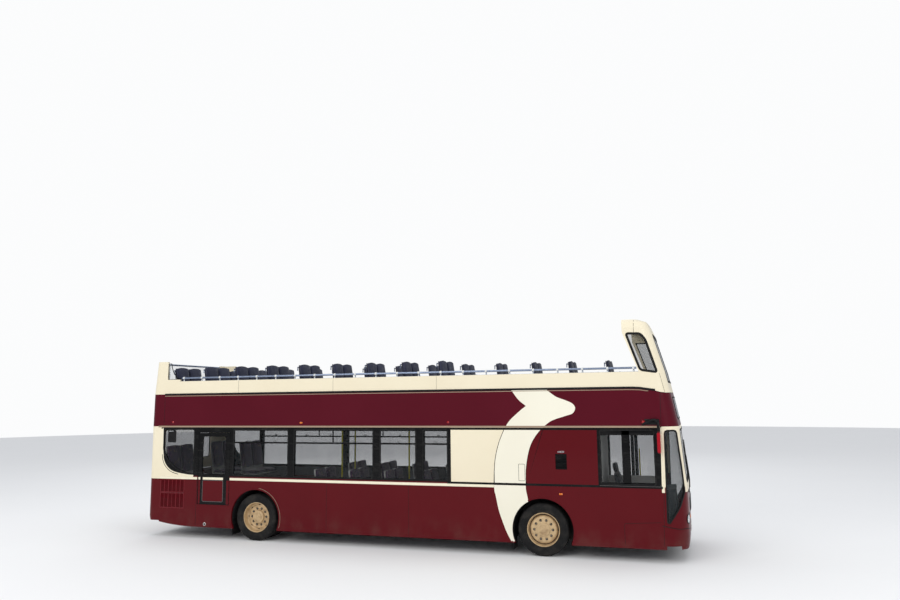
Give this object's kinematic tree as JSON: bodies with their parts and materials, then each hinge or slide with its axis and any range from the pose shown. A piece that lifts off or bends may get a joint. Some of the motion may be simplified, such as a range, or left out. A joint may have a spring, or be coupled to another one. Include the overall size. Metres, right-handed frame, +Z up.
{
  "type": "open top double decker bus",
  "caption": "Open top double decker bus in maroon and cream, with steered front wheels, swing doors, engine lid, stairs and seats on both decks.",
  "frame": {"origin": "on the ground, in the middle of the length and width", "axes": "+X forward, +Y to the nearside, +Z up"},
  "size_m": [11.1198, 2.84, 4.205],
  "materials": {
    "maroon_paint": "gloss maroon coach paint",
    "cream_paint": "gloss cream coach paint",
    "black_frame": "satin black paint",
    "glass": "clear tinted safety glass",
    "clear_sheet": "clear plastic sheet",
    "tyre": "black rubber",
    "wheel_gold": "gold-beige wheel paint",
    "chassis_steel": "black chassis paint",
    "engine_iron": "bare cast iron",
    "floor_vinyl": "grey non-slip vinyl",
    "liner_plastic": "black moulded liner",
    "seat_shell": "dark moulded seat shell",
    "seat_fabric": "dark moquette",
    "rail_steel": "brushed stainless tube",
    "pole_yellow": "yellow-green powder coat",
    "dash_plastic": "dark grained moulding",
    "lamp_lens": "clear and coloured lenses",
    "stair_vinyl": "grey stair covering"
  },
  "bodies": {
    "body": {"chassis_frame": "chassis_steel", "cross_members": "chassis_steel", "front_axle_beam": "chassis_steel", "rear_axle": "chassis_steel", "engine": "engine_iron", "lower_floor": "floor_vinyl", "gangway_step": "floor_vinyl", "wheel_arches": "liner_plastic", "staircase": "stair_vinyl", "upper_floor": "floor_vinyl", "skirt_offside": "maroon_paint", "skirt_nearside": "maroon_paint", "window_frame_offside": "black_frame", "window_frame_nearside": "black_frame", "deck_band": "maroon_paint", "upper_panels": "cream_paint", "upper_rails": "rail_steel", "gutters": "black_frame", "arch_lips": "maroon_paint", "front_lower_panel": "maroon_paint", "front_screen_frame": "cream_paint", "front_band": "maroon_paint", "front_dome": "cream_paint", "rear_lower_panel": "maroon_paint", "rear_window_frame": "cream_paint", "rear_band": "maroon_paint", "rear_upper_panel": "cream_paint", "front_glass": "glass", "saloon_glass": "glass", "upper_screens": "clear_sheet", "lower_seats": "seat_fabric", "upper_seats": "seat_shell", "driver_seat": "seat_fabric", "dashboard": "dash_plastic", "cab_partition": "dash_plastic", "poles": "pole_yellow", "mirrors": "black_frame", "lamps": "lamp_lens"},
    "knuckle_left": {"knuckle_left": "chassis_steel"},
    "knuckle_right": {"knuckle_right": "chassis_steel"},
    "track_rod": {"track_rod": "chassis_steel"},
    "front_wheel_left": {"front_tyre_left": "tyre", "front_rim_left": "wheel_gold"},
    "front_wheel_right": {"front_tyre_right": "tyre", "front_rim_right": "wheel_gold"},
    "rear_wheels_left": {"rear_tyres_left": "tyre", "rear_rims_left": "wheel_gold"},
    "rear_wheels_right": {"rear_tyres_right": "tyre", "rear_rims_right": "wheel_gold"},
    "steering_wheel": {"steering_wheel": "dash_plastic"},
    "emergency_door": {"emergency_door": "maroon_paint"},
    "entrance_leaf_front": {"entrance_leaf_front": "black_frame"},
    "entrance_leaf_rear": {"entrance_leaf_rear": "black_frame"},
    "engine_lid": {"engine_lid": "maroon_paint"}
  },
  "joints": [
    {"name": "steer_left", "type": "hinge", "parent": "body", "child": "knuckle_left", "pos_m": [3.02, 0.95, 0.465], "axis": [0, 0, 1], "range_deg": [-38, 38]},
    {"name": "steer_right", "type": "hinge", "parent": "body", "child": "knuckle_right", "pos_m": [3.02, -0.95, 0.465], "axis": [0, 0, 1], "range_deg": [-38, 38]},
    {"name": "track_rod_pivot", "type": "hinge", "parent": "knuckle_left", "child": "track_rod", "pos_m": [2.79, 0.89, 0.175], "axis": [0, 0, 1], "range_deg": [-38, 38]},
    {"name": "front_wheel_left_spin", "type": "hinge", "parent": "knuckle_left", "child": "front_wheel_left", "pos_m": [3.02, 1.095, 0.465], "axis": [0, 1, 0], "continuous": true},
    {"name": "front_wheel_right_spin", "type": "hinge", "parent": "knuckle_right", "child": "front_wheel_right", "pos_m": [3.02, -1.095, 0.465], "axis": [0, 1, 0], "continuous": true},
    {"name": "rear_wheels_left_spin", "type": "hinge", "parent": "body", "child": "rear_wheels_left", "pos_m": [-2.91, 0.936, 0.465], "axis": [0, 1, 0], "continuous": true},
    {"name": "rear_wheels_right_spin", "type": "hinge", "parent": "body", "child": "rear_wheels_right", "pos_m": [-2.91, -0.936, 0.465], "axis": [0, 1, 0], "continuous": true},
    {"name": "steering_wheel_turn", "type": "hinge", "parent": "body", "child": "steering_wheel", "pos_m": [4.82, -0.69, 1.13], "axis": [-0.5318, 0, 0.8469], "range_deg": [-684, 684]},
    {"name": "emergency_door_hinge", "type": "hinge", "parent": "body", "child": "emergency_door", "pos_m": [-3.555, -1.256, 1.43], "axis": [0, 0, 1], "range_deg": [0, 100]},
    {"name": "entrance_front_hinge", "type": "hinge", "parent": "body", "child": "entrance_leaf_front", "pos_m": [5.045, 1.256, 1.29], "axis": [0, 0, -1], "range_deg": [0, 88]},
    {"name": "entrance_rear_hinge", "type": "hinge", "parent": "body", "child": "entrance_leaf_rear", "pos_m": [3.955, 1.256, 1.29], "axis": [0, 0, 1], "range_deg": [0, 88]},
    {"name": "engine_lid_hinge", "type": "hinge", "parent": "body", "child": "engine_lid", "pos_m": [-5.539, 0, 1.231], "axis": [0, 1, 0], "range_deg": [0, 75]}
  ],
  "couplings": [
    {"joint": "steer_right", "follows": "steer_left", "ratio": 1},
    {"joint": "track_rod_pivot", "follows": "steer_left", "ratio": -1},
    {"joint": "steering_wheel_turn", "follows": "steer_left", "ratio": 18}
  ]
}
